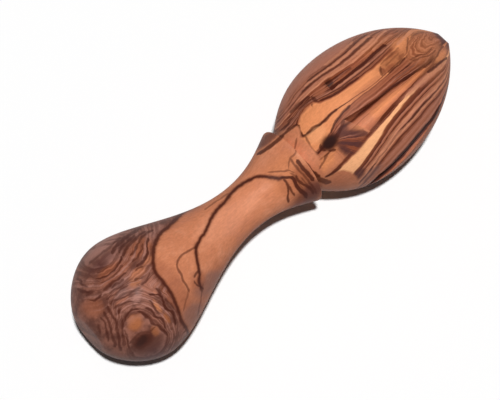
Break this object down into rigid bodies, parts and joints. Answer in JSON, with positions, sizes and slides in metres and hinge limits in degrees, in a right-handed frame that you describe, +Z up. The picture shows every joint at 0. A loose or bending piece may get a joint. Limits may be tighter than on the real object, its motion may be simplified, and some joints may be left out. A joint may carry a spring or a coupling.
{
  "type": "citrus reamer",
  "caption": "Turned wooden citrus reamer: a bulb handle narrows to a waist, flares to a sharp collar and carries an almond-shaped fluted head that is twisted in halved fruit for its juice.",
  "frame": {"origin": "on the surface that the reamer lies on, under the middle of its bounding box", "axes": "+X along the length from the butt to the tip, +Z up as it lies at rest on the bulb and the head; the turning axis rises about 1 degree towards the tip, because the head is wider than the bulb"},
  "size_m": [0.167, 0.0482, 0.0482],
  "materials": {
    "olive_wood": "oiled satin, honey ground with dark brown figure"
  },
  "bodies": {
    "root": {"reamer": "olive_wood"}
  },
  "joints": []
}
